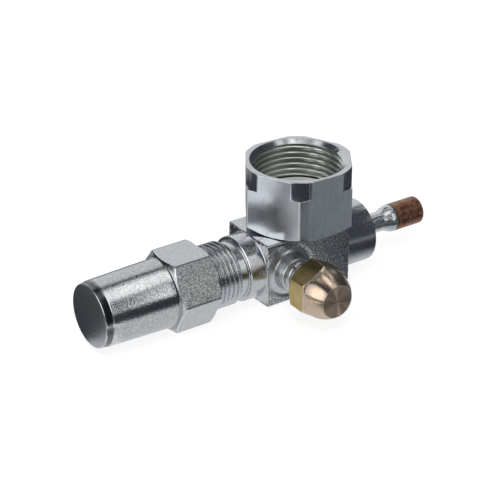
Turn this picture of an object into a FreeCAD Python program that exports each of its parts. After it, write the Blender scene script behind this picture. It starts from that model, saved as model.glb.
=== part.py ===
"""Refrigerant service valve: a forged steel body with a captive coupling nut, a packed
valve stem under a long cap, a flare service port under a brass cap and a solder tube.

Frame: the origin is the centre of the face seal inside the coupling nut, and +Z runs out
of the nut's mouth. The stem axis lies below it along X: the stem cap points to -X, the
solder tube to +X and the service port to -Y. Lengths are in millimetres.
"""
import FreeCAD, Part
import math
import os

V = FreeCAD.Vector

# Clearances
screw_gap = 0.05          # radial, between the crests of a male and a female thread
running_gap = 0.05        # radial, between a turning piece and what carries it
packing_gap = 0.03        # radial, packing against the stem and its box
braze_gap = 0.05          # radial, filled by capillary filler metal
face_gap = 0.05           # along the axis, between faces that stop against each other

# Allowances for drawing, which change no shape
root_depth = 0.5          # how far a boss is drawn into the block that carries it
beyond = 1.0              # how far a cutting shape runs past what it cuts

# Forged block, centred on the stem axis
block_width = 23.8
block_height = 23.6
block_front = 20.9        # from the nut's axis to the face on the stem side
block_rear = 14.0         # from the nut's axis to the face on the tube side
block_round = 0.8
front_draft = 5.0         # degrees, the face on the stem side is slightly conical

# Stem boss: collar, run-out groove and cap thread
collar_d = 23.2
collar_length = 6.3
collar_fillet = 0.15
collar_chamfer = 0.3
groove_d = 20.4
groove_length = 3.0
cap_thread_d = 22.8
cap_thread_length = 20.8
cap_thread_pitch = 1.814   # 14 turns to the inch
cap_thread_depth = 1.05
cap_thread_chamfer = 1.2

# Tube boss
tube_boss_d = 22.8
tube_boss_length = 12.5
tube_boss_chamfer = 0.4

# Valve stem and its passage through the body
stem_d = 9.0
stem_thread_d = 10.0
stem_thread_length = 13.0
stem_thread_mesh = 5.0     # thread left in mesh when the valve is front-seated
stem_travel = 12.0
stem_neck_d = 7.2          # between the thread and the disc
stem_nose_d = 5.0          # carries the disc
stem_square = 6.3
stem_square_length = 10.0
stem_stand_out = 17.0      # past the gland nut when the stem is backed out
chamber_d = 16.0
land_clearance = 0.2       # radial, lets the stem's thread through the back seat
land_length = 2.0
seat_width = 0.8
gallery_d = 13.0
gallery_length = 6.0

# Swivel disc with a seat cone on each side, and the washer that holds it on the stem
disc_overhang = 0.3        # radial, past the back seat
disc_back_step = 0.2
disc_rim_length = 3.4
disc_cone_length = 2.0
retainer_d = 7.0
retainer_thickness = 1.2
retainer_recess = 0.3      # depth of the washer below the disc's front

# Packing box and gland nut
packing_d = 15.0
packing_washer_thickness = 1.5
packing_ring_thickness = 3.0
packing_ring_count = 3
gland_flats = 15.0
gland_face_d = 14.25       # flat end of the head, inside its chamfer
gland_head_length = 5.0
gland_head_gap = 1.0       # from the boss to the gland nut's head, left for tightening

# Stem cap
cap_flats = 25.4
cap_hex_length = 15.0
cap_hex_face_d = 27.7      # flat mouth end of the hexagon, inside its chamfer
cap_neck_fillet = 1.0      # from the barrel up to the hexagon's chamfer
cap_mouth_chamfer = 0.5
cap_thread_cover = 10.0    # length of thread under the closed cap
cap_seal_thickness = 1.2
cap_seal_width = 1.9
cap_barrel_root_d = 24.2
cap_barrel_tip_d = 23.0
cap_barrel_length = 27.9
cap_band_length = 2.4      # the band turned at the tip, between its rim and the barrel
cap_band_step = 0.15
cap_band_d = 22.2          # at the rim
cap_rim_round = 0.5
cap_bore_d = 17.8
cap_end_wall = 2.8

# Seat plug and solder tube
plug_d = 17.0
plug_bore_d = 8.4
plug_seat_mouth_d = 11.2
tube_neck_d = 7.3
tube_neck_length = 9.6     # outside the boss
tube_flare_length = 4.4
tube_end_d = 10.0
tube_end_length = 12.7
tube_wall = 1.0
tube_socket_depth = 8.0
plug_throat = 2.0          # length over which the plug's bore narrows to the tube's
tube_end_chamfer = 0.3
braze_fillet_leg = 1.3     # round the tube
braze_chamfer_leg = 0.8    # round the plug and the spigot

# Spigot that carries the nut, and the face seal on it
spigot_d = 22.6
spigot_shank_d = 18.0
spigot_shank_length = 2.8
spigot_bore_d = 12.0
flange_d = 28.6
flange_rim_drop = 1.0      # from the seal's face down to the flange's rim
seal_d = 27.4
seal_bore_d = 17.0
seal_thickness = 2.0
seal_side_gap = 0.1

# Coupling nut
nut_flats = 36.0
nut_height = 22.4
nut_turn = -3.8            # degrees, the angle it stands at
nut_shoulder_d = 38.2
nut_shoulder_height = 6.5
nut_edge = 0.3
nut_bore_d = 29.6          # at the crests of the internal thread
nut_thread_pitch = 2.117   # 12 turns to the inch
nut_thread_depth = 1.12
nut_relief_d = 32.4
nut_mouth_d = 33.8
nut_mouth_depth = 1.5
nut_lip = 4.2
nut_block_gap = 0.25
seal_depth = 13.4          # from the nut's mouth down to the seal's face

# Service port, turned on the forging
port_offset = 11.4         # from the nut's axis towards the stem cap
port_boss_d = 13.2
port_boss_length = 4.7
port_boss_edge = 0.5
port_fillet = 2.0
port_neck_d = 9.4
port_neck_length = 2.0
port_thread_d = 11.1
port_thread_length = 11.6
port_hole_d = 5.0
flare_tip_d = 6.6
dish_d = 20.4
dish_depth = 0.6

# Flare cap
flare_cap_flats = 17.46
flare_cap_hex_length = 8.8
flare_cap_standoff = 6.1   # from the port's boss to the cap
flare_dome_length = 7.0
flare_dome_root_d = 17.8
flare_dome_middle_d = 16.0
flare_dome_tip_d = 11.8
flare_cap_face_d = 16.6    # flat open end, inside its chamfer
flare_cap_floor_d = 3.3
flare_seal_d = 10.4
flare_seal_thickness = 1.0

# Heights along Z, measured from the face of the seal
nut_top = seal_depth
nut_bottom = nut_top - nut_height
lip_top = nut_bottom + nut_lip
block_top = nut_bottom - nut_block_gap
stem_drop = block_height / 2 - block_top
flange_under = lip_top + face_gap

# Stations along the stem axis, measured from the nut's axis, from -X to +X
block_face = -block_front
collar_end = block_face - collar_length
thread_start = collar_end - groove_length
boss_end = thread_start - cap_thread_length
gallery_start = -port_offset - gallery_length / 2
land_start = gallery_start + gallery_length
land_end = land_start + land_length
seat_start = land_end - seat_width
packing_floor = gallery_start - stem_travel - stem_thread_mesh
washer_end = packing_floor - packing_washer_thickness
packing_end = washer_end - packing_ring_count * packing_ring_thickness
gland_head_start = boss_end - gland_head_gap
gland_head_end = gland_head_start - gland_head_length
stem_end = gland_head_end - stem_stand_out
stem_thread_start = packing_floor + face_gap
tube_boss_end = block_rear + tube_boss_length

# Radii of the stem's passage and stations of the disc, with the stem backed out
land_r = stem_thread_d / 2 + land_clearance
seat_r = land_r + seat_width
disc_r = seat_r + disc_overhang
disc_back = seat_start + disc_back_step + face_gap
disc_rim_start = seat_start + (disc_r - land_r) + face_gap
disc_rim_end = disc_rim_start + disc_rim_length
disc_front = disc_rim_end + disc_cone_length
recess_floor = disc_front - retainer_thickness - retainer_recess
plug_mouth_r = plug_seat_mouth_d / 2
plug_face = disc_rim_end + stem_travel + (disc_r - plug_mouth_r) + face_gap

# Stations of the stem cap
cap_open_end = boss_end + cap_thread_cover
cap_hex_end = cap_open_end - cap_hex_length
cap_seal_end = boss_end - face_gap - cap_seal_thickness
cap_shoulder = cap_seal_end - face_gap
cap_tip = cap_hex_end - cap_barrel_length
cap_hex_middle = cap_hex_end + cap_hex_length / 2

# Stations of the solder tube
tube_inner_end = tube_boss_end - tube_socket_depth
tube_neck_end = tube_boss_end + tube_neck_length
tube_flare_end = tube_neck_end + tube_flare_length
tube_end = tube_flare_end + tube_end_length

# Stations along the service port's axis, measured from the stem axis
block_side = block_width / 2
dish_floor = block_side - dish_depth
port_boss_end = block_side + port_boss_length
port_thread_start = port_boss_end + port_neck_length
port_thread_end = port_thread_start + port_thread_length
flare_nose = port_thread_end + (port_thread_d - flare_tip_d) / 2
flare_cap_open_end = port_boss_end + flare_cap_standoff
flare_cap_hex_end = flare_cap_open_end + flare_cap_hex_length
flare_cap_tip = flare_cap_hex_end + flare_dome_length

corner_ratio = 2 / math.sqrt(3)      # a hexagon's corners to its flats
chamfer_slope = math.tan(math.radians(30))   # of a hexagon's chamfered corners
arc_share = 1 - math.sqrt(0.5)       # how far a quarter arc stands off its corner


# Each solid is drawn along its own Z axis and then laid on one of these axes
def on_stem_axis(shape):
    """Lay a solid along the stem: its +Z becomes +X."""
    shape.Placement = FreeCAD.Placement(V(0, 0, -stem_drop), FreeCAD.Rotation(V(0, 1, 0), 90))
    return shape


def on_port_axis(shape):
    """Lay a solid along the service port: its +Z becomes -Y."""
    shape.Placement = FreeCAD.Placement(V(-port_offset, 0, -stem_drop),
                                        FreeCAD.Rotation(V(1, 0, 0), 90))
    return shape


# Building blocks
def point_at(pair):
    return V(pair[0], 0, pair[1])


def turned(outline):
    """Solid of revolution about Z from a closed outline of (radius, height) points.

    The word "arc" in the outline is followed by a point on the arc and by its end.
    """
    items = iter(outline)
    start = last = point_at(next(items))
    edges = []
    for item in items:
        if item == "arc":
            middle = point_at(next(items))
            end = point_at(next(items))
            edges.append(Part.Arc(last, middle, end).toShape())
        else:
            end = point_at(item)
            edges.append(Part.makeLine(last, end))
        last = end
    edges.append(Part.makeLine(last, start))
    return Part.Face(Part.Wire(edges)).revolve(V(0, 0, 0), V(0, 0, 1), 360)


def rod(diameter, low, high):
    return Part.makeCylinder(diameter / 2, high - low, V(0, 0, low))


def pipe(outer_d, inner_d, low, high):
    return turned([(inner_d / 2, low), (outer_d / 2, low), (outer_d / 2, high), (inner_d / 2, high)])


def cone(low_d, high_d, low, high):
    return Part.makeCone(low_d / 2, high_d / 2, high - low, V(0, 0, low))


def hexagon(flats, low, high, turn=30.0):
    """Hexagonal prism with its first corner at the angle turn."""
    corner = flats / 2 * corner_ratio
    angles = [math.radians(turn + 60 * k) for k in range(7)]
    ring = [V(corner * math.cos(a), corner * math.sin(a), low) for a in angles]
    return Part.Face(Part.makePolygon(ring)).extrude(V(0, 0, high - low))


def hexagon_envelope(flats, low, high, low_d, high_d):
    """Turned shape that chamfers a hexagon's corners from its end faces' diameters."""
    far_r = flats / 2 * corner_ratio + beyond
    low_edge = low + (far_r - low_d / 2) * chamfer_slope
    high_edge = high - (far_r - high_d / 2) * chamfer_slope
    return turned([(0, low), (low_d / 2, low), (far_r, low_edge), (far_r, high_edge),
                   (high_d / 2, high), (0, high)])


def thread_turns(crest_r, root_r, pitch, start, end):
    """Outline points of a thread drawn as plain rings, between two stations."""
    run = end - start
    half_mouth = abs(root_r - crest_r) * math.tan(math.radians(30))
    count = int((abs(run) - 2 * half_mouth) / pitch) + 1
    points = []
    for index in range(count):
        middle = (start + end) / 2 + math.copysign(pitch, run) * (index - (count - 1) / 2)
        reach = math.copysign(half_mouth, run)
        points += [(crest_r, middle - reach), (root_r, middle), (crest_r, middle + reach)]
    return points


def s_curve(start, end):
    """Two equal tangent arcs between two (radius, height) points, level at both ends."""
    rise = end[0] - start[0]
    run = end[1] - start[1]
    radius = (run ** 2 + rise ** 2) / (4 * abs(rise))
    half_turn = math.atan(abs(rise / run))
    across = math.copysign(radius * (1 - math.cos(half_turn)), rise)
    along = math.copysign(radius * math.sin(half_turn), run)
    middle = ((start[0] + end[0]) / 2, (start[1] + end[1]) / 2)
    return ["arc", (start[0] + across, start[1] + along), middle,
            "arc", (end[0] - across, end[1] - along), end]


# The body
def block():
    corner = V(block_face - beyond, -block_width / 2, -stem_drop - block_height / 2)
    solid = Part.makeBox(block_front + block_rear + beyond, block_width, block_height, corner)
    along_x = [e for e in solid.Edges if abs(e.tangentAt(e.FirstParameter).x) > 0.99]
    solid = solid.makeFillet(block_round, along_x)
    rear = [e for e in solid.Edges if all(abs(v.X - block_rear) < 0.001 for v in e.Vertexes)]
    solid = solid.makeFillet(block_round, rear)
    reach = math.hypot(block_width, block_height)
    ring_r = collar_d / 2 + collar_fillet
    lean = (reach - ring_r) * math.tan(math.radians(front_draft))
    face = turned([(0, block_face), (ring_r, block_face), (reach, block_face + lean),
                   (reach, block_rear), (0, block_rear)])
    return solid.common(on_stem_axis(face))


def stem_boss():
    collar_r = collar_d / 2
    groove_r = groove_d / 2
    thread_r = cap_thread_d / 2
    foot_r = collar_r + collar_fillet
    stand = collar_fillet * arc_share
    chamfer_start = boss_end + cap_thread_chamfer
    turns = thread_turns(thread_r, thread_r - cap_thread_depth, cap_thread_pitch,
                         thread_start, chamfer_start)
    return on_stem_axis(turned([
        (0, block_face + root_depth), (foot_r, block_face + root_depth), (foot_r, block_face),
        "arc", (collar_r + stand, block_face - stand), (collar_r, block_face - collar_fillet),
        (collar_r, collar_end + collar_chamfer), (collar_r - collar_chamfer, collar_end),
        (groove_r, collar_end), (groove_r, thread_start + (thread_r - groove_r)),
        (thread_r, thread_start)] + turns + [
        (thread_r, chamfer_start), (thread_r - cap_thread_chamfer, boss_end), (0, boss_end)]))


def tube_boss():
    r = tube_boss_d / 2
    inside = block_rear - block_round - root_depth
    return on_stem_axis(turned([
        (0, inside), (r, inside), (r, tube_boss_end - tube_boss_chamfer),
        (r - tube_boss_chamfer, tube_boss_end), (0, tube_boss_end)]))


def port_boss():
    boss_r = port_boss_d / 2
    neck_r = port_neck_d / 2
    thread_r = port_thread_d / 2
    return on_port_axis(turned([
        (0, block_side / 2), (boss_r, block_side / 2), (boss_r, port_boss_end - port_boss_edge),
        (boss_r - port_boss_edge, port_boss_end), (neck_r, port_boss_end),
        (neck_r, port_thread_start - (thread_r - neck_r)), (thread_r, port_thread_start),
        (thread_r, port_thread_end), (flare_tip_d / 2, flare_nose), (0, flare_nose)]))


def port_dish():
    """The shallow dish that is turned into the block round the service port."""
    boss_r = port_boss_d / 2
    dish_r = dish_d / 2
    stand = port_fillet * arc_share
    above = dish_floor + port_fillet
    return on_port_axis(turned([
        (dish_r - 2 * dish_depth, dish_floor), (dish_r, block_side), (dish_r, above),
        (boss_r, above), "arc", (boss_r + stand, dish_floor + stand),
        (boss_r + port_fillet, dish_floor)]))


def stem_bores():
    """Everything bored on the stem axis, from the packing box to the plug's socket."""
    tools = [
        rod(packing_d, boss_end - beyond, packing_floor),
        rod(stem_thread_d + 2 * screw_gap, packing_floor - beyond, gallery_start + beyond),
        rod(gallery_d, gallery_start, land_start),
        rod(2 * land_r, land_start - beyond, land_end),
        cone(2 * land_r, 2 * seat_r, seat_start, land_end),
        rod(chamber_d, land_end, plug_face + beyond),
        rod(plug_d + 2 * braze_gap, plug_face, tube_boss_end + beyond),
        cone(plug_d, plug_d + 2 * braze_chamfer_leg, tube_boss_end - braze_chamfer_leg, tube_boss_end),
    ]
    return on_stem_axis(tools[0].fuse(tools[1:]))


def union_bores():
    shank_end = block_top - spigot_shank_length - face_gap
    tools = [
        rod(spigot_bore_d, -stem_drop, block_top + beyond),
        rod(spigot_shank_d + 2 * braze_gap, shank_end, block_top + beyond),
        cone(spigot_shank_d, spigot_shank_d + 2 * braze_chamfer_leg,
             block_top - braze_chamfer_leg, block_top),
    ]
    return tools[0].fuse(tools[1:])


def port_bore():
    return on_port_axis(rod(port_hole_d, 0, flare_nose + beyond))


def make_valve_body():
    body = block().cut(port_dish())
    body = body.fuse([stem_boss(), tube_boss(), port_boss()])
    for bores in (stem_bores(), union_bores(), port_bore()):
        body = body.cut(bores)
    return body.removeSplitter()


# The stem, its disc and its packing
def make_valve_stem():
    neck_r = stem_neck_d / 2
    nose_r = stem_nose_d / 2
    thread_r = stem_thread_d / 2
    stem_r = stem_d / 2
    thread_end = stem_thread_start + stem_thread_length
    nose_start = disc_back - face_gap
    nose_end = recess_floor + face_gap + retainer_thickness
    stem = turned([
        (0, stem_end), (stem_r, stem_end), (stem_r, stem_thread_start), (thread_r, stem_thread_start),
        (thread_r, thread_end), (neck_r, thread_end), (neck_r, nose_start), (nose_r, nose_start),
        (nose_r, nose_end), (0, nose_end)])
    half = stem_square / 2
    waste = rod(stem_d + 2 * beyond, stem_end - beyond, stem_end + stem_square_length)
    square = Part.makeBox(stem_square, stem_square, stem_square_length + 3 * beyond,
                          V(-half, -half, stem_end - 2 * beyond))
    return on_stem_axis(stem.cut(waste.cut(square)))


def make_stem_disc():
    bore_r = stem_nose_d / 2 + running_gap
    recess_r = retainer_d / 2 + running_gap
    back_r = land_r + disc_back_step
    front_r = disc_r - disc_cone_length
    return on_stem_axis(turned([
        (bore_r, disc_back), (back_r, disc_back), (disc_r, disc_rim_start), (disc_r, disc_rim_end),
        (front_r, disc_front), (recess_r, disc_front), (recess_r, recess_floor),
        (bore_r, recess_floor)]))


def make_disc_retainer():
    low = recess_floor + face_gap
    return on_stem_axis(pipe(retainer_d, stem_nose_d, low, low + retainer_thickness))


def make_packing_washer():
    return on_stem_axis(pipe(packing_d - 2 * packing_gap, stem_d + 2 * running_gap,
                             washer_end, packing_floor))


def make_packing_ring(index):
    high = washer_end - index * packing_ring_thickness
    return on_stem_axis(pipe(packing_d - 2 * packing_gap, stem_d + 2 * packing_gap,
                             high - packing_ring_thickness, high))


def make_gland_nut():
    head = hexagon(gland_flats, gland_head_end, gland_head_start)
    corner_d = gland_flats * corner_ratio
    head = head.common(hexagon_envelope(gland_flats, gland_head_end, gland_head_start,
                                        gland_face_d, corner_d))
    barrel = rod(packing_d - 2 * screw_gap, gland_head_start - gland_head_length / 2, packing_end)
    bore = rod(stem_d + 2 * running_gap, gland_head_end - beyond, packing_end + beyond)
    return on_stem_axis(head.fuse(barrel).cut(bore).removeSplitter())


# The stem cap
def cap_hex_envelope():
    """Turned shape of the hexagon: a fillet up from the barrel, then 30 degree chamfers."""
    root_r = cap_barrel_root_d / 2
    fillet_start = cap_hex_end - cap_neck_fillet
    # The fillet turns through 60 degrees, from the barrel to the chamfer
    fillet_middle = (root_r + cap_neck_fillet * (1 - math.cos(math.radians(30))),
                     fillet_start + cap_neck_fillet * math.sin(math.radians(30)))
    fillet_end = (root_r + cap_neck_fillet * (1 - math.cos(math.radians(60))),
                  fillet_start + cap_neck_fillet * math.sin(math.radians(60)))
    far_r = cap_flats / 2 * corner_ratio + beyond
    face_r = cap_hex_face_d / 2
    return turned([
        (0, fillet_start), (root_r, fillet_start), "arc", fillet_middle, fillet_end,
        (far_r, fillet_end[1] + (far_r - fillet_end[0]) * chamfer_slope),
        (far_r, cap_open_end - (far_r - face_r) * chamfer_slope),
        (face_r, cap_open_end), (0, cap_open_end)])


def cap_barrel():
    tip_r = cap_barrel_tip_d / 2
    band_r = cap_band_d / 2
    rim_r = band_r - cap_rim_round
    band_end = cap_tip + cap_rim_round + cap_band_length
    stand = cap_rim_round * arc_share
    return turned([
        (0, cap_hex_middle), (cap_barrel_root_d / 2, cap_hex_middle),
        (cap_barrel_root_d / 2, cap_hex_end - cap_neck_fillet), (tip_r, band_end),
        (tip_r - cap_band_step, band_end - cap_band_step), (band_r, cap_tip + cap_rim_round),
        "arc", (band_r - stand, cap_tip + stand), (rim_r, cap_tip), (0, cap_tip)])


def cap_hollow():
    thread_r = cap_thread_d / 2 + screw_gap
    mouth_r = thread_r + cap_mouth_chamfer
    bore_r = cap_bore_d / 2
    bore_end = cap_tip + cap_end_wall
    return turned([
        (0, cap_open_end + beyond), (mouth_r, cap_open_end + beyond), (mouth_r, cap_open_end),
        (thread_r, cap_open_end - cap_mouth_chamfer), (thread_r, cap_shoulder),
        (bore_r, cap_shoulder), (bore_r, bore_end), (0, bore_end)])


def make_stem_cap():
    hexa = hexagon(cap_flats, cap_hex_end - cap_neck_fillet, cap_open_end)
    hexa = hexa.common(cap_hex_envelope())
    return on_stem_axis(hexa.fuse(cap_barrel()).cut(cap_hollow()).removeSplitter())


def make_stem_cap_seal():
    outer_d = cap_thread_d - 2 * running_gap
    return on_stem_axis(pipe(outer_d, outer_d - 2 * cap_seal_width,
                             cap_seal_end, cap_seal_end + cap_seal_thickness))


# The seat plug, the solder tube and their braze
def make_seat_plug():
    r = plug_d / 2
    bore_r = plug_bore_d / 2
    socket_r = tube_neck_d / 2 + braze_gap
    tube_bore_r = tube_neck_d / 2 - tube_wall
    throat = tube_inner_end - plug_throat
    seat_end = plug_face + (plug_mouth_r - bore_r)
    return on_stem_axis(turned([
        (plug_mouth_r, plug_face), (r, plug_face), (r, tube_boss_end), (socket_r, tube_boss_end),
        (socket_r, tube_inner_end), (tube_bore_r, tube_inner_end),
        (tube_bore_r, tube_inner_end - plug_throat / 2), (bore_r, throat), (bore_r, seat_end)]))


def make_solder_tube():
    neck_r = tube_neck_d / 2
    end_r = tube_end_d / 2
    outside = s_curve((neck_r, tube_neck_end), (end_r, tube_flare_end))
    inside = s_curve((end_r - tube_wall, tube_flare_end), (neck_r - tube_wall, tube_neck_end))
    return on_stem_axis(turned(
        [(neck_r - tube_wall, tube_inner_end), (neck_r, tube_inner_end), (neck_r, tube_neck_end)]
        + outside + [(end_r, tube_end - tube_end_chamfer), (end_r - tube_end_chamfer, tube_end),
                     (end_r - tube_wall, tube_end), (end_r - tube_wall, tube_flare_end)]
        + inside))


def make_tube_braze():
    """Concave fillet of filler metal round the tube, on the plug's face."""
    r = tube_neck_d / 2
    stand = braze_fillet_leg * arc_share
    return on_stem_axis(turned([
        (r, tube_boss_end), (r + braze_fillet_leg, tube_boss_end),
        "arc", (r + stand, tube_boss_end + stand), (r, tube_boss_end + braze_fillet_leg)]))


def chamfer_braze(bore_d, face):
    """Ring of filler metal that fills the chamfer at a bore's mouth."""
    r = bore_d / 2
    return turned([(r, face), (r + braze_chamfer_leg, face), (r, face - braze_chamfer_leg)])


# The spigot, its seal and the coupling nut
def make_union_spigot():
    bore_r = spigot_bore_d / 2
    shank_r = spigot_shank_d / 2
    r = spigot_d / 2
    flange_r = flange_d / 2
    shank_end = block_top - spigot_shank_length
    rim = -flange_rim_drop
    floor = -seal_thickness
    return turned([
        (bore_r, shank_end), (shank_r, shank_end), (shank_r, block_top), (r, block_top),
        (r, flange_under), (flange_r, flange_under), (flange_r, rim),
        (seal_d / 2 + seal_side_gap, rim), (seal_d / 2 + seal_side_gap, floor),
        (seal_bore_d / 2 - seal_side_gap, floor), (seal_bore_d / 2 - seal_side_gap, rim),
        (bore_r, rim)])


def make_face_seal():
    return pipe(seal_d, seal_bore_d, -seal_thickness, 0)


def make_coupling_nut():
    half = nut_flats / 2
    far_r = half * corner_ratio + beyond
    rise = (far_r - half) * chamfer_slope
    shoulder_r = nut_shoulder_d / 2
    shoulder = nut_top - nut_shoulder_height
    envelope = turned([
        (0, nut_bottom), (half, nut_bottom), (far_r, nut_bottom + rise), (far_r, shoulder),
        (shoulder_r, shoulder), (shoulder_r, nut_top - nut_edge), (shoulder_r - nut_edge, nut_top),
        (0, nut_top)])
    lip_r = spigot_d / 2 + running_gap
    relief_r = nut_relief_d / 2
    bore_r = nut_bore_d / 2
    mouth_r = nut_mouth_d / 2
    mouth_start = nut_top - nut_mouth_depth
    turns = thread_turns(bore_r, bore_r + nut_thread_depth, nut_thread_pitch, 0, mouth_start)
    hollow = turned([
        (0, nut_bottom - beyond), (lip_r, nut_bottom - beyond), (lip_r, lip_top),
        (relief_r, lip_top), (relief_r, 0), (bore_r, 0)] + turns + [
        (bore_r, mouth_start), (mouth_r, nut_top), (mouth_r, nut_top + beyond),
        (0, nut_top + beyond)])
    return hexagon(nut_flats, nut_bottom, nut_top, nut_turn).common(envelope).cut(hollow)


# The flare cap and its seal
def flare_cone_station(radius, standoff):
    """Station of the flare's 45 degree cone at a radius, moved out by a standoff."""
    return port_thread_end + (port_thread_d / 2 - radius) + standoff


def make_flare_cap():
    prism = hexagon(flare_cap_flats, flare_cap_open_end, flare_cap_tip)
    far_r = flare_cap_flats / 2 * corner_ratio + beyond
    face_r = flare_cap_face_d / 2
    root_r = flare_dome_root_d / 2
    middle_r = flare_dome_middle_d / 2
    dome_middle = flare_cap_hex_end + flare_dome_length / 2
    shoulder = flare_cap_hex_end - (far_r - root_r) * chamfer_slope
    envelope = turned([
        (0, flare_cap_open_end), (face_r, flare_cap_open_end),
        (far_r, flare_cap_open_end + (far_r - face_r) * chamfer_slope), (far_r, shoulder),
        (root_r, flare_cap_hex_end), "arc", (middle_r, dome_middle),
        (flare_dome_tip_d / 2, flare_cap_tip), (0, flare_cap_tip)])
    bore_r = port_thread_d / 2 + screw_gap
    floor_r = flare_cap_floor_d / 2
    standoff = flare_seal_thickness + 2 * face_gap
    hollow = turned([
        (0, flare_cap_open_end - beyond), (bore_r, flare_cap_open_end - beyond),
        (bore_r, flare_cone_station(bore_r, standoff)),
        (floor_r, flare_cone_station(floor_r, standoff)), (0, flare_cone_station(floor_r, standoff))])
    return on_port_axis(prism.common(envelope).cut(hollow))


def make_flare_seal():
    """Conical washer between the flare and the cap."""
    outer_r = flare_seal_d / 2
    inner_r = flare_tip_d / 2
    near = face_gap
    far = face_gap + flare_seal_thickness
    return on_port_axis(turned([
        (outer_r, flare_cone_station(outer_r, near)), (outer_r, flare_cone_station(outer_r, far)),
        (inner_r, flare_cone_station(inner_r, far)), (inner_r, flare_cone_station(inner_r, near))]))


def all_pieces():
    pieces = {
        "valve_body": make_valve_body(),
        "valve_stem": make_valve_stem(),
        "stem_disc": make_stem_disc(),
        "disc_retainer": make_disc_retainer(),
        "packing_washer": make_packing_washer(),
        "gland_nut": make_gland_nut(),
        "stem_cap": make_stem_cap(),
        "stem_cap_seal": make_stem_cap_seal(),
        "seat_plug": make_seat_plug(),
        "seat_plug_braze": on_stem_axis(chamfer_braze(plug_d, tube_boss_end)),
        "solder_tube": make_solder_tube(),
        "solder_tube_braze": make_tube_braze(),
        "union_spigot": make_union_spigot(),
        "union_spigot_braze": chamfer_braze(spigot_shank_d, block_top),
        "face_seal": make_face_seal(),
        "coupling_nut": make_coupling_nut(),
        "flare_cap": make_flare_cap(),
        "flare_cap_seal": make_flare_seal(),
    }
    for index in range(packing_ring_count):
        pieces[f"packing_ring_{index + 1}"] = make_packing_ring(index)
    return pieces


os.makedirs("parts", exist_ok=True)
for name, shape in all_pieces().items():
    shape.exportStep(f"parts/{name}.step")
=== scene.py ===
"""Looks of the refrigerant service valve: bright zinc plated steel, turned brass and a
copper coated solder tube. Lengths are millimetres in the shapes, and metres after MM.
"""
import math

import bmesh
import bpy
import numpy as np
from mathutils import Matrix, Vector


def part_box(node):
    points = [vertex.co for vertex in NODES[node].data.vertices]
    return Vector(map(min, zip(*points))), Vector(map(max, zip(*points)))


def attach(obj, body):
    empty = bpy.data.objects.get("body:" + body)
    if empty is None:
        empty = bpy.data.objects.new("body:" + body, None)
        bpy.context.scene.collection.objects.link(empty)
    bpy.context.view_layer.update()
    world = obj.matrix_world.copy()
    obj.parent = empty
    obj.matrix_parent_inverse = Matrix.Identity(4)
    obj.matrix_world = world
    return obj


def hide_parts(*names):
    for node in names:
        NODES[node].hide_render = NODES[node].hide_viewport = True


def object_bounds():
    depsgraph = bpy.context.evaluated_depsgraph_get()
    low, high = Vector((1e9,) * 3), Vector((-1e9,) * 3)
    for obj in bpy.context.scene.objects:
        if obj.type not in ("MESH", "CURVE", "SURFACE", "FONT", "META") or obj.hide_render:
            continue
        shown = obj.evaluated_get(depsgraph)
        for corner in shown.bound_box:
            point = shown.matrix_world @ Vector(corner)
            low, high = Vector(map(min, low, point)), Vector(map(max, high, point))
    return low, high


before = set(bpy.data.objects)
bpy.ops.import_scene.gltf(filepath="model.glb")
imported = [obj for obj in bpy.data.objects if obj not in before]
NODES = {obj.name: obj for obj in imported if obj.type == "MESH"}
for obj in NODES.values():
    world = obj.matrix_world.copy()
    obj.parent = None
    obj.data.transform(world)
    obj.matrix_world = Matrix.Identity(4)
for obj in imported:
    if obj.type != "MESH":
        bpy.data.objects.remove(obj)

MM = 0.001
TAU = 2 * math.pi
SLOPE_30 = math.tan(math.radians(30))
CAD_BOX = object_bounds()

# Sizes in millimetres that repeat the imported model's
STEM_DROP = 21.05
PORT_X = -11.4
BLOCK_FACE = -20.9
BLOCK_HALF = 11.8            # half its height
CAP_HEX_START = -56.0
DOME_START = 31.5
COPPER_START = 41.0
NUT_HALF = 18.0              # half the width across its flats
NUT_FIRST_CORNER = -3.8      # in degrees
NUT_BORE = 14.8              # radius at its thread's crests
PORT_CREST = 5.55            # radius at its thread's crests
PORT_END = 30.2              # from the stem axis along the port, like DOME_START

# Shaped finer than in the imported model: the nut's strip from a second pass beside one corner
NUT_STRIP_FLAT = 4           # counted from the flat past the first corner, which is 0
NUT_STRIP_WIDTH = 3.6
NUT_STRIP_TURN = math.radians(2.5)
NUT_STRIP_EDGE = NUT_STRIP_WIDTH - NUT_HALF * SLOPE_30       # from the middle of its flat


def low(node, axis):
    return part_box(node)[0][axis] / MM


def high(node, axis):
    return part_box(node)[1][axis] / MM


# The photograph's camera, fitted to points read from it
IMAGE_PIXELS = 500
SENSOR = 36.0
FOCAL_PIXELS = 1784
AZIMUTH = math.radians(-34.6)
ELEVATION = math.radians(28.0)
CROSSING_PIXEL = (297.2, 248.0)      # where the stem axis crosses the nut's axis
CROSSING_DEPTH = 0.6253


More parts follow.
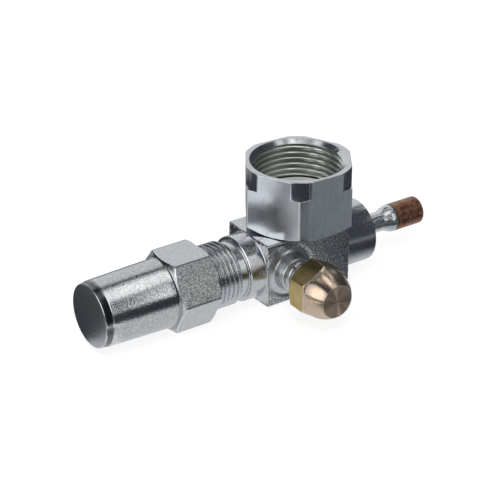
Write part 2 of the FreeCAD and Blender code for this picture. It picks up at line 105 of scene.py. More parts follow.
def make_camera():
    sin_a, cos_a = math.sin(AZIMUTH), math.cos(AZIMUTH)
    sin_e, cos_e = math.sin(ELEVATION), math.cos(ELEVATION)
    ahead = Vector((-sin_a * cos_e, cos_a * cos_e, -sin_e))
    right = Vector((cos_a, sin_a, 0))
    up = right.cross(ahead)
    middle = IMAGE_PIXELS / 2
    across = (CROSSING_PIXEL[0] - middle) / FOCAL_PIXELS * CROSSING_DEPTH
    above = (middle - CROSSING_PIXEL[1]) / FOCAL_PIXELS * CROSSING_DEPTH
    place = Vector((0, 0, -STEM_DROP * MM)) - ahead * CROSSING_DEPTH - right * across - up * above
    data = bpy.data.cameras.new("camera")
    data.sensor_width = SENSOR
    data.lens = FOCAL_PIXELS * SENSOR / IMAGE_PIXELS
    data.clip_start = 0.01
    camera = bpy.data.objects.new("camera", data)
    camera.location = place
    camera.rotation_euler = ahead.to_track_quat("-Z", "Y").to_euler()
    bpy.context.scene.collection.objects.link(camera)
    bpy.context.scene.camera = camera


# Meshes of revolution, with hexagons and threads as changes to the radius
class Axis:
    """A line that pieces are turned about: a point, two directions across and one along."""

    def __init__(self, start, across, upward, along):
        self.start = np.array(start, float)
        self.frame = [np.array(v, float) for v in (across, upward, along)]

    def place(self, radius, angle, height):
        a, b, c = self.frame
        flat = radius[..., None] * (np.cos(angle)[..., None] * a + np.sin(angle)[..., None] * b)
        return (self.start + flat + height[..., None] * c) * MM


NUT_AXIS = Axis((0, 0, 0), (1, 0, 0), (0, 1, 0), (0, 0, 1))
STEM_AXIS = Axis((0, 0, -STEM_DROP), (0, 1, 0), (0, 0, 1), (1, 0, 0))
PORT_AXIS = Axis((PORT_X, 0, -STEM_DROP), (1, 0, 0), (0, 0, 1), (0, -1, 0))


def smooth_min(a, b, blend):
    share = np.clip(0.5 + 0.5 * (b - a) / blend, 0, 1)
    return b * (1 - share) + a * share - blend * share * (1 - share)


def smooth_step(x, start, end):
    share = np.clip((x - start) / (end - start), 0, 1)
    return share * share * (3 - 2 * share)


class Hexagon:
    """Limits a radius to a hexagon with softened corners."""

    def __init__(self, flats, first_normal, corner_blend, end_blend=0.3):
        self.half = flats / 2
        self.first = math.radians(first_normal)
        self.corner_blend, self.end_blend = corner_blend, end_blend

    def off(self, angle, flat=None):
        """Angle from the nearest flat's normal, or from that of one flat."""
        sector = TAU / 6 if flat is None else TAU
        first = self.first + (flat or 0) * TAU / 6
        return np.mod(angle - first + sector / 2, sector) - sector / 2

    def radius(self, angle):
        off = self.off(angle)
        beside = self.half / np.cos(TAU / 6 - np.abs(off))
        return smooth_min(self.half / np.cos(off), beside, self.corner_blend)

    def limit(self, radius, angle):
        return smooth_min(radius, self.radius(angle), self.end_blend)


class Thread:
    """Right-hand thread between two heights; cut is 0 on the crests, the depth in the roots."""

    LAND = 0.12              # share of half a pitch that is flat at a crest and at a root
    ROUNDING = 0.35          # share of a flank's form that is a smooth curve

    def __init__(self, crest, depth, pitch, start, end, fade):
        self.crest, self.depth, self.pitch = crest, depth, pitch
        self.start, self.end, self.fade = start, end, fade

    def cut(self, angle, height):
        wave = np.abs(2 * np.mod(height / self.pitch - angle / TAU, 1.0) - 1)
        flank = np.clip((wave - self.LAND) / (1 - 2 * self.LAND), 0, 1)
        groove = 1 - smooth_step(flank, 0, 1) * self.ROUNDING - flank * (1 - self.ROUNDING)
        inside = (smooth_step(height, self.start, self.start + self.fade)
                  * (1 - smooth_step(height, self.end - self.fade, self.end)))
        return self.depth * groove * inside


def turned_angles(corners=(), base=360):
    """Angles all round, closer together near the corners of a hexagon."""
    spread, step = 2.0, 0.25
    angles = list(np.arange(base) * 360.0 / base)
    for corner in corners:
        angles += list(corner + np.arange(-spread, spread + step / 2, step))
    return np.radians(np.unique(np.round(np.mod(angles, 360.0), 4)))


def arc_corner(before, at, after, radius, steps):
    """Points of a rounded corner of an outline."""
    p, q, r = (np.array(v, float) for v in (before, at, after))
    u = (p - q) / np.linalg.norm(p - q)
    v = (r - q) / np.linalg.norm(r - q)
    half = math.acos(float(np.clip(u @ v, -1, 1))) / 2
    reach = radius / math.tan(half)
    centre = q + (u + v) / np.linalg.norm(u + v) * radius / math.sin(half)
    first, last = q + u * reach - centre, q + v * reach - centre
    points = []
    for k in range(steps + 1):
        mix = first * (1 - k / steps) + last * k / steps
        points.append(tuple(centre + mix / np.linalg.norm(mix) * radius))
    return points


def arc_through(start, middle, end, steps):
    """Points of the arc through three points, without the first."""
    a, b, c = (complex(*v) for v in (start, middle, end))
    w = (c - a) / (b - a)
    centre = (b - a) * (w - abs(w) ** 2) / (w - w.conjugate()) + a
    first, last = a - centre, c - centre
    turn = math.atan2((last / first).imag, (last / first).real)
    points = [centre + first * complex(math.cos(turn * k / steps), math.sin(turn * k / steps))
              for k in range(1, steps + 1)]
    return [(p.real, p.imag) for p in points]


def outline(points, steps=4):
    """Outline points with their corners rounded; a point is (radius, height[, rounding])."""
    out = []
    for i, point in enumerate(points):
        if len(point) > 2 and 0 < i < len(points) - 1:
            out += arc_corner(points[i - 1][:2], point[:2], points[i + 1][:2], point[2], steps)
        else:
            out.append(tuple(point[:2]))
    return out


def ramp(start, end, steps):
    """Evenly spaced points from one outline point to another, both included."""
    first, last = np.array(start), np.array(end)
    return [tuple(first + (last - first) * k / steps) for k in range(steps + 1)]


def spaced(points, step):
    """The same outline with no stretch longer than the step."""
    out = [points[0]]
    for a, b in zip(points, points[1:]):
        out += ramp(a, b, max(1, math.ceil(math.dist(a, b) / step)))[1:]
    return out


def grid_mesh(name, axis, points, angles, shape=None, closed=True):
    """Mesh of an outline swept round an axis; shape(radius, angle, height) gives the radius."""
    outline_array = np.array(points, float)
    radius, angle = np.meshgrid(outline_array[:, 0], angles, indexing="ij")
    height = np.broadcast_to(outline_array[:, 1][:, None], radius.shape)
    if shape:
        radius = shape(radius, angle, height)
    rows, columns = radius.shape
    vertices = axis.place(radius, angle, height).reshape(-1, 3)
    last = rows if closed else rows - 1
    i = np.repeat(np.arange(last), columns)
    j = np.tile(np.arange(columns), last)
    up = (i + 1) % rows
    beside = (j + 1) % columns
    faces = np.stack([i * columns + j, i * columns + beside, up * columns + beside, up * columns + j], 1)
    mesh = bpy.data.meshes.new(name)
    mesh.from_pydata(vertices.tolist(), [], faces.tolist())
    return mesh


def add_piece(node, meshes, body, material):
    """Joins meshes into one smooth-shaded piece that takes a node's place on its body."""
    joined = bmesh.new()
    for mesh in meshes:
        joined.from_mesh(mesh)
    bmesh.ops.remove_doubles(joined, verts=joined.verts, dist=0.002 * MM)
    bmesh.ops.dissolve_degenerate(joined, edges=joined.edges, dist=0.001 * MM)
    bmesh.ops.recalc_face_normals(joined, faces=joined.faces)
    mesh = bpy.data.meshes.new(node + "_finish")
    joined.to_mesh(mesh)
    joined.free()
    mesh.polygons.foreach_set("use_smooth", [True] * len(mesh.polygons))
    mesh.set_sharp_from_angle(angle=math.radians(35))
    piece = bpy.data.objects.new(node + "_finish", mesh)
    bpy.context.scene.collection.objects.link(piece)
    mesh.materials.append(material)
    weighted = piece.modifiers.new("weighted", "WEIGHTED_NORMAL")
    weighted.keep_sharp = True
    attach(piece, body)
    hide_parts(node)


# Node helpers
class Nodes:
    """A node tree with short calls for the nodes used here."""

    def __init__(self, tree):
        self.tree = tree
        tree.nodes.clear()

    def node(self, kind, **settings):
        node = self.tree.nodes.new(kind)
        for key, value in settings.items():
            setattr(node, key, value)
        return node

    def link(self, source, target):
        self.tree.links.new(source, target)

    def feed(self, socket, value):
        if isinstance(value, bpy.types.NodeSocket):
            self.link(value, socket)
        else:
            socket.default_value = value

    def math(self, operation, a, b=0.0):
        node = self.node("ShaderNodeMath", operation=operation)
        self.feed(node.inputs[0], a)
        self.feed(node.inputs[1], b)
        return node.outputs[0]

    def add(self, a, b):
        return self.math("ADD", a, b)

    def times(self, *values):
        product = values[0]
        for value in values[1:]:
            product = self.math("MULTIPLY", product, value)
        return product

    def without(self, a):
        return self.math("SUBTRACT", 1.0, a)

    def mean(self, a, b, share):
        """Weighted mean of two values, with the first one's share."""
        return self.add(self.times(a, share), self.times(b, 1 - share))

    def vector(self, operation, a, b=(0, 0, 0)):
        node = self.node("ShaderNodeVectorMath", operation=operation)
        self.feed(node.inputs[0], a)
        self.feed(node.inputs[1], b)
        return node.outputs["Value" if operation in ("DOT_PRODUCT", "DISTANCE") else "Vector"]

    def split(self, vector):
        node = self.node("ShaderNodeSeparateXYZ")
        self.link(vector, node.inputs[0])
        return node.outputs[0], node.outputs[1], node.outputs[2]

    def join(self, x, y, z):
        node = self.node("ShaderNodeCombineXYZ")
        for socket, value in zip(node.inputs, (x, y, z)):
            self.feed(socket, value)
        return node.outputs[0]

    def noise(self, vector, size_mm, detail, roughness, distortion=0.0):
        node = self.node("ShaderNodeTexNoise")
        self.link(vector, node.inputs["Vector"])
        node.inputs["Scale"].default_value = 1 / (size_mm * MM)
        node.inputs["Detail"].default_value = detail
        node.inputs["Roughness"].default_value = roughness
        node.inputs["Distortion"].default_value = distortion
        return node.outputs["Fac"]

    def cells(self, vector, size_mm):
        node = self.node("ShaderNodeTexVoronoi")
        self.link(vector, node.inputs["Vector"])
        node.inputs["Scale"].default_value = 1 / (size_mm * MM)
        return node.outputs["Distance"]

    def span(self, value, start, end, low_out=0.0, high_out=1.0, smooth=True):
        node = self.node("ShaderNodeMapRange")
        node.interpolation_type = "SMOOTHSTEP" if smooth else "LINEAR"
        self.feed(node.inputs["Value"], value)
        node.inputs["From Min"].default_value = start
        node.inputs["From Max"].default_value = end
        self.feed(node.inputs["To Min"], low_out)
        self.feed(node.inputs["To Max"], high_out)
        return node.outputs["Result"]

    def rise(self, value, start, end):
        """0 to 1 between two millimetre values, or 1 to 0 where the second is the lower one."""
        return self.span(value, start * MM, end * MM)

    def within(self, value, start, end, soft):
        """1 between two millimetre values and 0 outside them, with a soft edge."""
        return self.times(self.rise(value, start - soft, start + soft),
                          self.rise(value, end + soft, end - soft))

    def spread(self, noise, start=0.35, end=0.65):
        """Noise with the middle of its range spread over 0 to 1."""
        return self.span(noise, start, end)

    def varied(self, noise, least, most):
        """A value that follows noise between two others."""
        return self.span(noise, 0.3, 0.7, least, most)

    def largest(self, *values):
        result = values[0]
        for value in values[1:]:
            result = self.math("MAXIMUM", result, value)
        return result

    def mix(self, share, a, b):
        """Value a, or b where the share is 1."""
        return self.span(share, 0.0, 1.0, a, b, smooth=False)

    def blend(self, share, a, b):
        """Colour a, or b where the share is 1."""
        node = self.node("ShaderNodeMix", data_type="RGBA")
        self.feed(node.inputs["Factor"], share)
        for name, value in (("A", a), ("B", b)):
            socket = [s for s in node.inputs if s.name == name and s.type == "RGBA"][0]
            self.feed(socket, value if isinstance(value, bpy.types.NodeSocket) else (*value, 1.0))
        return [s for s in node.outputs if s.type == "RGBA"][0]

    def values(self, base, *layers):
        """A value with others laid over it; a layer is (share, value)."""
        for share, value in layers:
            base = self.mix(share, base, value)
        return base

    def colors(self, base, *layers):
        """A colour with others laid over it; a layer is (share, colour)."""
        for share, color in layers:
            base = self.blend(share, base, color)
        return base

    def glow(self, color, strength, kind="ShaderNodeEmission"):
        """A shader that gives light."""
        node = self.node(kind)
        self.feed(node.inputs["Color"], color)
        self.feed(node.inputs["Strength"], strength)
        return node.outputs[0]

    def shown(self, share, a, b):
        """Shader a, or b where the share is 1."""
        node = self.node("ShaderNodeMixShader")
        self.link(share, node.inputs[0])
        self.link(a, node.inputs[1])
        self.link(b, node.inputs[2])
        return node.outputs[0]

    def by_ray(self, camera, metal, others):
        """Shows one shader to the camera, one to metal and one to all other rays."""
        path = self.node("ShaderNodeLightPath").outputs
        from_metal = self.math("MAXIMUM", path["Is Glossy Ray"], path["Is Transmission Ray"])
        return self.shown(path["Is Camera Ray"], self.shown(from_metal, others, metal), camera)


class Shader(Nodes):
    """A material."""

    def __init__(self, name):
        self.material = bpy.data.materials.new(name)
        self.material.use_nodes = True
        super().__init__(self.material.node_tree)
        self.bsdf = self.node("ShaderNodeBsdfPrincipled")
        self.output = self.node("ShaderNodeOutputMaterial")
        self.link(self.bsdf.outputs["BSDF"], self.output.inputs["Surface"])
        self.position = self.node("ShaderNodeTexCoord").outputs["Object"]

    def bump(self, height, distance_mm, normal=None):
        node = self.node("ShaderNodeBump")
        node.inputs["Distance"].default_value = distance_mm * MM
        self.link(height, node.inputs["Height"])
        if normal is not None:
            self.link(normal, node.inputs["Normal"])
        return node.outputs["Normal"]

    def finish(self, color, roughness, normal, metallic=1.0):
        self.feed(self.bsdf.inputs["Base Color"], color)
        self.feed(self.bsdf.inputs["Roughness"], roughness)
        self.feed(self.bsdf.inputs["Metallic"], metallic)
        self.link(normal, self.bsdf.inputs["Normal"])
        return self.material

    def from_start(self, axis):
        return self.vector("SUBTRACT", self.position, tuple(axis.start * MM))

    def about(self, axis):
        """(height along the axis, radius, angle) of a surface point, in metres and radians."""
        local = self.from_start(axis)
        a, b, c = (self.vector("DOT_PRODUCT", local, tuple(v)) for v in axis.frame)
        radius = self.math("SQRT", self.add(self.times(a, a), self.times(b, b)))
        return c, radius, self.math("ARCTAN2", b, a)

    def turning_marks(self, axis, line_mm):
        """Fine grooves round an axis, as a height from 0 to 1."""
        wander = 0.25 * MM
        height, radius, angle = self.about(axis)
        along = self.times(self.add(height, radius), 1 / line_mm)
        round_it = [self.times(self.math(wave, angle), wander) for wave in ("COSINE", "SINE")]
        return self.noise(self.join(along, *round_it), 1.0, 3.0, 0.6)

    def pits(self, places):
        """1 in small balls; a place is (point, radius) in millimetres."""
        shares = []
        for point, radius in places:
            reach = self.vector("DISTANCE", self.position, tuple(np.array(point) * MM))
            shares.append(self.rise(reach, radius, radius * 0.6))
        return self.largest(*shares)


def flat_direction(degrees):
    return (math.cos(math.radians(degrees)), math.sin(math.radians(degrees)), 0.0)


def scaled(color, factor):
    return tuple(factor * c for c in color)


# The directions out of the nut's flat that carries the strip, and along its width
NUT_STRIP_FACING = NUT_FIRST_CORNER + 30 + 60 * NUT_STRIP_FLAT
NUT_STRIP_OUT = flat_direction(NUT_STRIP_FACING)
NUT_STRIP_ACROSS = flat_direction(NUT_STRIP_FACING + 90)

ZINC = (0.63, 0.645, 0.665)
# Colour of the painted highlights along edges of the nut and the stem cap
HIGHLIGHT_ZINC = (0.92, 0.93, 0.94)
BARE_GREY = (0.10, 0.10, 0.108)

# Dark pits seen in the photograph: a point and a radius
BODY_PITS = [((-24.6, -9.8, -25.6), 0.7), ((-14.4, -15.9, -18.2), 0.35)]
CAP_PITS = [((-67.6, -3.6, -9.8), 0.45), ((-73.5, -4.8, -10.3), 0.4)]


def zinc(name, axis, rough=(0.20, 0.34), line_mm=0.2, color=ZINC):
    """Bright zinc plating on turned steel: a fine mottle, soft clouds and turning marks."""
    s = Shader(name)
    mottle = s.noise(s.position, 0.5, 5.0, 0.65)
    clouds = s.noise(s.position, 6, 3.0, 0.5)
    tint = s.colors(scaled(color, 0.86),
                    (s.spread(mottle), color),
                    (s.spread(clouds, 0.35, 0.7), scaled(color, 0.93)))
    roughness = s.varied(s.mean(mottle, clouds, 0.7), *rough)
    normal = s.bump(mottle, 0.02)
    normal = s.bump(s.turning_marks(axis, line_mm), 0.002, normal)
    return s.finish(tint, roughness, normal)


def material_forging():
    """The body: forged skin, turned faces round the port, turned collar and tube boss."""
    s = Shader("forged_zinc")
    x, _, z = s.split(s.position)
    skin = s.mean(s.cells(s.position, 0.45), s.noise(s.position, 0.32, 4.0, 0.7), 0.5)
    mottle = s.noise(s.position, 0.55, 5.0, 0.65)
    # The turned face round the port reaches less far on its upper right
    _, port_radius, _ = s.about(PORT_AXIS)
    toward = s.vector("DOT_PRODUCT", s.from_start(PORT_AXIS), (0.8, 0.0, 0.6))
    port_reach = s.add(port_radius, s.times(s.largest(toward, 0.0), 0.35))
    round_port = s.rise(port_reach, 10.3, 9.5)
    block_top = BLOCK_HALF - STEM_DROP
    on_block = s.within(x, BLOCK_FACE + 0.3, 14.2, 0.15)
    upper_left = s.times(s.rise(x, -9.5, -12.5), s.rise(z, -23, -19))
    top = s.rise(z, block_top - 0.15, block_top)
    forged = s.times(on_block, s.without(s.largest(round_port, upper_left, s.times(top, 0.75))))
    plated = s.blend(s.spread(mottle), scaled(ZINC, 0.85), ZINC)
    speckled = s.blend(s.span(skin, 0.44, 0.66), (0.20, 0.205, 0.215), (0.80, 0.81, 0.83))
    tint = s.colors(plated, (forged, speckled), (s.times(s.pits(BODY_PITS), 0.8), BARE_GREY))
    duller = s.times(round_port, on_block, 0.12)
    roughness = s.mix(forged, s.add(duller, s.varied(mottle, 0.19, 0.28)), 0.42)
    normal = s.bump(s.times(skin, forged), 0.16)
    normal = s.bump(mottle, 0.010, normal)
    turned = s.times(s.turning_marks(STEM_AXIS, 0.22), s.without(on_block))
    normal = s.bump(turned, 0.004, normal)
    return s.finish(tint, roughness, normal)


def material_nut():
    """The coupling nut: milled flats with a fine upright grain, turned mouth and threads."""
    s = Shader("nut_zinc")
    x, y, z = s.split(s.position)
    _, radius, _ = s.about(NUT_AXIS)
    top = high("coupling_nut", 2)
    brushed = s.noise(s.join(x, y, s.times(z, 0.06)), 0.35, 4.0, 0.6)
    mottle = s.noise(s.position, 0.5, 5.0, 0.6)
    clouds = s.noise(s.position, 5, 3.0, 0.5)
    inside = s.rise(radius, NUT_BORE + 1.8, NUT_BORE + 1.5)
    threaded = s.times(inside, s.rise(z, top - 1.0, top - 1.3))
    # Painted highlight: the thread's crests are tinted near white where they would catch the light
    crest_highlight = s.times(threaded, s.rise(radius, NUT_BORE + 0.25, NUT_BORE + 0.10))
    rim = s.times(s.rise(z, top - 0.20, top - 0.05), s.without(inside))
    # The corners of the hexagon and the edge of the strip carry a painted highlight: a bright line where
    # their edges would catch the light
    outward = s.vector("DOT_PRODUCT", s.position, NUT_STRIP_OUT)
    across = s.vector("DOT_PRODUCT", s.position, NUT_STRIP_ACROSS)
    facing = s.rise(outward, NUT_HALF - 0.5, NUT_HALF - 0.3)
    line = s.times(facing, s.within(across, NUT_STRIP_EDGE - 0.12, NUT_STRIP_EDGE + 0.12, 0.06))
    edge_highlight = s.largest(s.rise(radius, 20.42, 20.54), line)
    tint = s.colors(scaled(ZINC, 0.88),
                    (s.spread(mottle), ZINC),
                    (s.spread(clouds, 0.35, 0.7), scaled(ZINC, 0.93)),
                    (s.times(threaded, 0.85), (0.52, 0.55, 0.50)),
                    (crest_highlight, (0.88, 0.90, 0.86)),
                    (s.times(rim, s.span(mottle, 0.5, 0.62), 0.5), scaled(ZINC, 0.55)),
                    (s.times(facing, s.spread(brushed), clouds, 0.5), scaled(ZINC, 0.7)),
                    (edge_highlight, HIGHLIGHT_ZINC))
    flats = s.varied(s.mean(brushed, clouds, 0.5), 0.14, 0.26)
    roughness = s.values(flats, (inside, 0.16), (threaded, 0.30), (edge_highlight, 0.50))
    normal = s.bump(brushed, 0.006)
    normal = s.bump(mottle, 0.012, normal)
    return s.finish(tint, roughness, normal)


def material_cap():
    """The stem cap: hexagon with a coarse mottle, drawn barrel and an end face with painted shade, a dark
    tint for the dark surroundings it reflects.
    """
    s = Shader("cap_zinc")
    height, radius, angle = s.about(STEM_AXIS)
    tip = low("stem_cap", 0)
    coarse = s.noise(s.position, 0.55, 5.0, 0.75)
    fine = s.noise(s.position, 0.9, 5.0, 0.7)
    clouds = s.noise(s.position, 5, 3.0, 0.5)
    streaks = s.span(s.noise(s.position, 0.8, 5.0, 0.75), 0.42, 0.60)
    rings = s.turning_marks(STEM_AXIS, 0.45)
    on_hex = s.rise(height, CAP_HEX_START + 0.2, CAP_HEX_START + 0.9)
    barrel = s.without(on_hex)
    # One flat is grainier than the others, with painted glints and painted dark reflections in its grain;
    # the angle from its normal is in radians
    from_normal = s.math("ABSOLUTE", s.math("SUBTRACT", angle, math.radians(150)))
    grain_and_glints = s.times(on_hex, s.span(from_normal, 0.53, 0.50), s.rise(radius, 14.7, 14.5))
    from_corner = s.math("ABSOLUTE", s.math("SINE", s.times(angle, 3.0)))
    edges = s.times(on_hex, s.rise(radius, 13.9, 14.1), s.span(from_corner, 0.085, 0.045))
    # Painted shade: a dark band round the barrel's end where its rounding would reflect dark surroundings
    tip_shade_band = s.within(height, tip + 0.45, tip + 2.5, 0.12)
    # Painted shade in the crease where the barrel meets the hexagon's cone
    neck = s.within(height, CAP_HEX_START - 0.9, CAP_HEX_START + 0.1, 0.1)
    # Painted highlight: a bright line along the edge where the hexagon's flats meet its cone
    past_cone = s.math("SUBTRACT", height, s.times(s.math("SUBTRACT", radius, 12.6 * MM), SLOPE_30))
    edge_highlight = s.times(s.within(past_cone, CAP_HEX_START - 0.02, CAP_HEX_START + 0.25, 0.08), s.without(edges))
    # Painted shade: the end face is tinted dark grey for the dark surroundings it reflects, with its
    # turning rings
    face = s.rise(height, tip + 0.10, tip + 0.02)
    face_dark_reflection = s.blend(s.spread(rings), (0.36, 0.36, 0.385), (0.47, 0.47, 0.50))
    tint = s.colors(scaled(ZINC, 0.86),
                    (s.spread(fine), ZINC),
                    (s.times(on_hex, s.span(coarse, 0.48, 0.62)), scaled(ZINC, 0.80)),
                    (s.times(grain_and_glints, s.span(coarse, 0.52, 0.42)), scaled(ZINC, 0.46)),
                    (s.times(grain_and_glints, s.span(coarse, 0.50, 0.57)), (0.94, 0.95, 0.96)),
                    (s.times(barrel, streaks, 0.7), scaled(ZINC, 0.62)),
                    (s.times(edges, 0.75), BARE_GREY),
                    (s.times(tip_shade_band, 0.9), scaled(ZINC, 0.16)),
                    (s.times(neck, 0.6), scaled(ZINC, 0.35)),
                    (edge_highlight, HIGHLIGHT_ZINC),
                    (face, face_dark_reflection),
                    (s.times(s.pits(CAP_PITS), 0.85), BARE_GREY))
    roughness = s.values(s.varied(s.mean(fine, clouds, 0.6), 0.13, 0.21),
                         (on_hex, 0.20), (grain_and_glints, 0.32), (edge_highlight, 0.50), (face, 0.42))
    normal = s.bump(s.times(coarse, on_hex), 0.12)
    normal = s.bump(s.times(fine, s.without(face)), 0.045, normal)
    normal = s.bump(s.times(rings, barrel), 0.003, normal)
    return s.finish(tint, roughness, normal)


def material_brass():
    """The flare cap: drawn flats, turned dome and a faced end."""
    s = Shader("turned_brass")
    height, radius, _ = s.about(PORT_AXIS)
    end = -low("flare_cap", 1)
    marks = s.turning_marks(PORT_AXIS, 0.2)
    clouds = s.noise(s.position, 4, 3.0, 0.5)
    dome = s.rise(height, DOME_START - 1.2, DOME_START - 0.4)
    tip = s.rise(height, end - 0.15, end - 0.05)
    flats_tint = s.blend(s.spread(clouds), (0.45, 0.335, 0.145), (0.53, 0.40, 0.18))
    dome_tint = s.blend(s.spread(clouds), (0.62, 0.48, 0.36), (0.70, 0.55, 0.43))
    # Painted highlight: a bright line along the edge between the flats and the dome, and round the rim of
    # the end face
    chamfer = s.add(height, s.times(s.math("SUBTRACT", radius, 8.9 * MM), SLOPE_30))
    edge_highlight = s.largest(s.within(chamfer, DOME_START - 0.28, DOME_START - 0.02, 0.08),
                     s.times(tip, s.rise(radius, 5.6, 5.7)))
    tint = s.colors(flats_tint, (dome, dome_tint), (edge_highlight, (0.92, 0.80, 0.64)))
    dome_roughness = s.varied(marks, 0.22, 0.32)
    roughness = s.values(s.varied(clouds, 0.16, 0.23), (dome, dome_roughness), (edge_highlight, 0.50), (tip, 0.50))
    # The dome's highlight is drawn out across its turning marks
    s.link(s.times(dome, 0.9), s.bsdf.inputs["Anisotropic"])
    outward = s.vector("MULTIPLY", s.from_start(PORT_AXIS), (1, 0, 1))
    turn = s.node("ShaderNodeVectorTransform", vector_type="VECTOR",
                  convert_from="OBJECT", convert_to="WORLD")
    s.link(outward, turn.inputs[0])
    s.link(turn.outputs[0], s.bsdf.inputs["Tangent"])
    return s.finish(tint, roughness, s.bump(s.times(marks, dome), 0.005))


def material_tube():
    """Zinc plated neck and a mottled copper coat on the solder end."""
    s = Shader("solder_tube")
    height, _, _ = s.about(STEM_AXIS)
    end = high("solder_tube", 0)
    ragged = s.noise(s.position, 1.2, 4.0, 0.6)
    mottle = s.noise(s.position, 1.6, 6.0, 0.7, 0.5)
    stains = s.noise(s.position, 3.5, 4.0, 0.6)
    edge = s.add(height, s.times(ragged, 1.0 * MM))
    coated = s.rise(edge, COPPER_START + 0.2, COPPER_START + 0.7)
    ring = s.times(coated, s.rise(edge, COPPER_START + 1.8, COPPER_START + 0.9))
    rim = s.rise(height, end - 0.6, end - 0.3)
    copper = s.colors((0.13, 0.055, 0.036),
                      (s.span(mottle, 0.35, 0.68), (0.44, 0.205, 0.13)),
                      (s.span(stains, 0.52, 0.7), (0.34, 0.20, 0.12)),
                      (ring, (0.14, 0.12, 0.10)),
                      (s.times(rim, 0.7), (0.34, 0.32, 0.31)))
    tint = s.blend(coated, scaled(ZINC, 1.1), copper)
    roughness = s.mix(coated, s.varied(mottle, 0.22, 0.34), s.varied(mottle, 0.30, 0.48))
    metallic = s.mix(coated, 1.0, 0.8)
    return s.finish(tint, roughness, s.bump(mottle, 0.06), metallic)


def material_plain(name, color, roughness, metallic, grain=0.4, depth=0.01):
    """Small inner pieces: an even finish with a fine grain."""
    s = Shader(name)
    fine = s.noise(s.position, grain, 4.0, 0.6)
    tint = s.blend(s.spread(fine), scaled(color, 0.86), color)
    rough = s.varied(fine, roughness - 0.06, roughness + 0.06)
    return s.finish(tint, rough, s.bump(fine, depth), metallic)


def past_corners(half):
    """A radius just beyond the corners of a hexagon."""
    return half * 2 / math.sqrt(3) + 1


def build_nut():
    top, bottom = high("coupling_nut", 2), low("coupling_nut", 2)
    beyond = past_corners(NUT_HALF)
    shoulder, entry, lip_top = top - 6.5, top - 1.2, bottom + 4.2
    rim_r, face_r, mouth, relief, lip = 19.1, 17.6, 16.9, 16.2, 11.35
    rim_edge, ledge_edge = 0.3, 0.12
    hexa = Hexagon(2 * NUT_HALF, NUT_FIRST_CORNER + 30, 0.42, 0.12)
    thread = Thread(NUT_BORE, 1.12, 2.117, 0.0, entry, 0.5)
    outside = [(NUT_HALF - 1.5, bottom)]
    outside += ramp((NUT_HALF, bottom), (beyond, bottom + (beyond - NUT_HALF) * SLOPE_30), 14)
    outside += spaced([outside[-1], (beyond, shoulder - ledge_edge)], 3.0)[1:]
    inside = outline([(face_r, top), (mouth, top, 0.15), (NUT_BORE + 0.3, entry)], 3)
    inside += spaced([(NUT_BORE + 0.3, entry), (NUT_BORE, entry - 0.3), (NUT_BORE, 0.0)], 0.11)[1:]
    inside += [(relief, 0.0), (relief, lip_top), (lip, lip_top), (lip, bottom)]
    # Each station is radius, height, inset of the shoulder's edge and inset of the rim's edge
    rounds = [(math.sin(t), 1 - math.cos(t)) for t in (k * math.pi / 8 for k in range(5))]
    stations = [(r, h, 0, 0) for r, h in outside]
    stations += [(beyond, shoulder + ledge_edge * (a - 1), ledge_edge * b, 0) for a, b in rounds]
    stations += [(rim_r, shoulder, 0, 0)]
    stations += [(rim_r, top + rim_edge * (a - 1), 0, rim_edge * b) for a, b in rounds]
    stations = np.array(stations + [(r, h, 0, 0) for r, h in inside])
    ledge_inset, rim_inset = stations[:, 2][:, None], stations[:, 3][:, None]
    strip_reach = NUT_HALF * math.cos(NUT_STRIP_TURN) - NUT_STRIP_EDGE * math.sin(NUT_STRIP_TURN)

    def shape(radius, angle, height):
        off = hexa.off(angle, NUT_STRIP_FLAT)
        strip = strip_reach / np.cos(np.clip(off + NUT_STRIP_TURN, -1.0, 1.0))
        hexagonal = hexa.limit(radius, angle)
        hexagonal = np.where((off < 0) & (off > -0.55), np.minimum(hexagonal, strip), hexagonal)
        past_rim = smooth_step(hexa.radius(angle), rim_r, rim_r + 0.3)
        outer = hexagonal - ledge_inset * past_rim - rim_inset
        in_bore = (radius < NUT_BORE + 0.35) & (radius > NUT_BORE - 0.01)
        inner = np.where(in_bore, radius + thread.cut(angle, height), radius)
        return np.where(radius > (face_r + mouth) / 2, outer, inner)

    corners = [NUT_FIRST_CORNER + 60 * k for k in range(6)]
    mesh = grid_mesh("coupling_nut_shape", NUT_AXIS, stations[:, :2], turned_angles(corners), shape)
    add_piece("coupling_nut", [mesh], "nut", material_nut())


